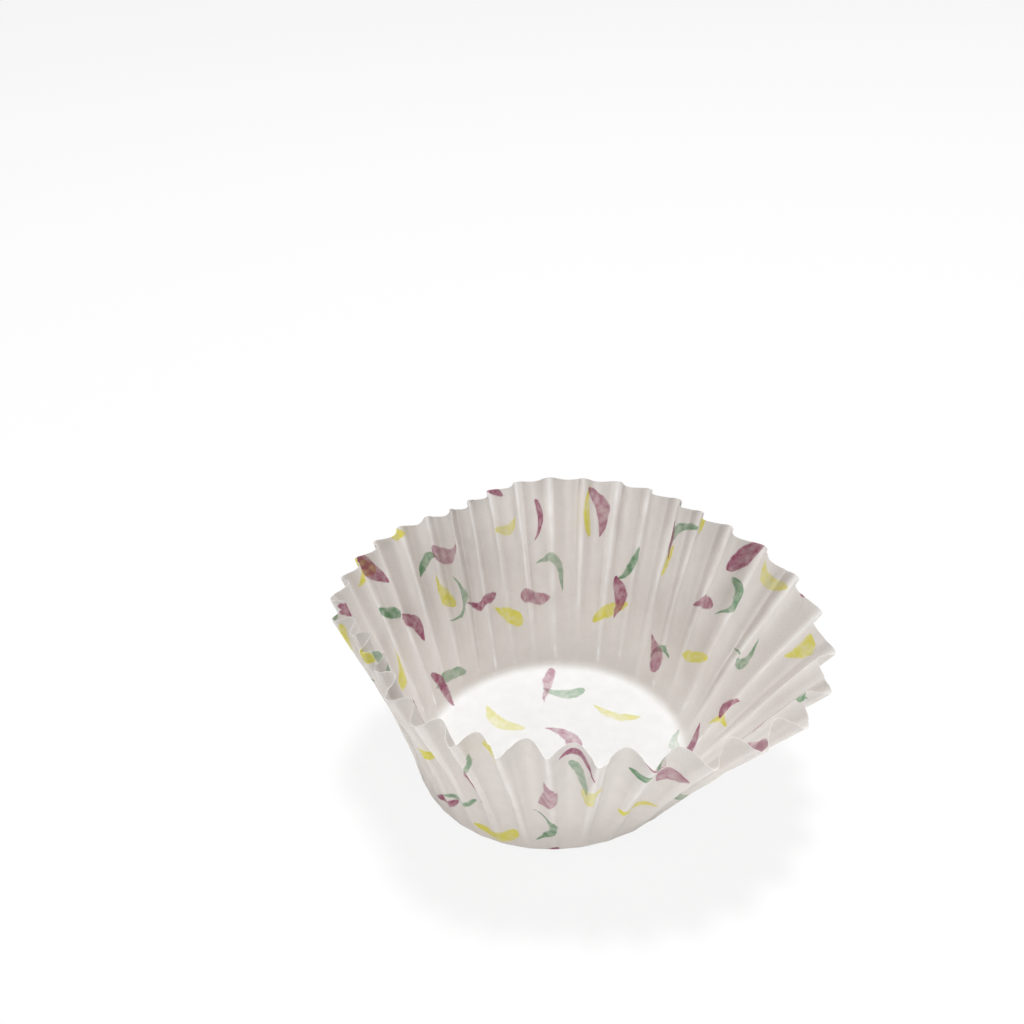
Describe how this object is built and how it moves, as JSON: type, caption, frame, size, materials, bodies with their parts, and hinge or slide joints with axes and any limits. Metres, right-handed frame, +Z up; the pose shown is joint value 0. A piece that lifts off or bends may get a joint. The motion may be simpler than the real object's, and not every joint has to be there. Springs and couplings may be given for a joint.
{
  "type": "paper baking cup",
  "caption": "Round paper baking cup pressed from one sheet, with a flat floor and a flared, pleated wall that has opened out on one side.",
  "frame": {"origin": "middle of the underside of the flat floor", "axes": "+Z up out of the cup's mouth, -Y toward the front, +X to the right"},
  "size_m": [0.0844, 0.0815, 0.0394],
  "materials": {
    "printed_paper": "matt greaseproof paper with scattered printed strokes in plum, green and yellow"
  },
  "bodies": {
    "root": {"baking_cup": "printed_paper"}
  },
  "joints": []
}
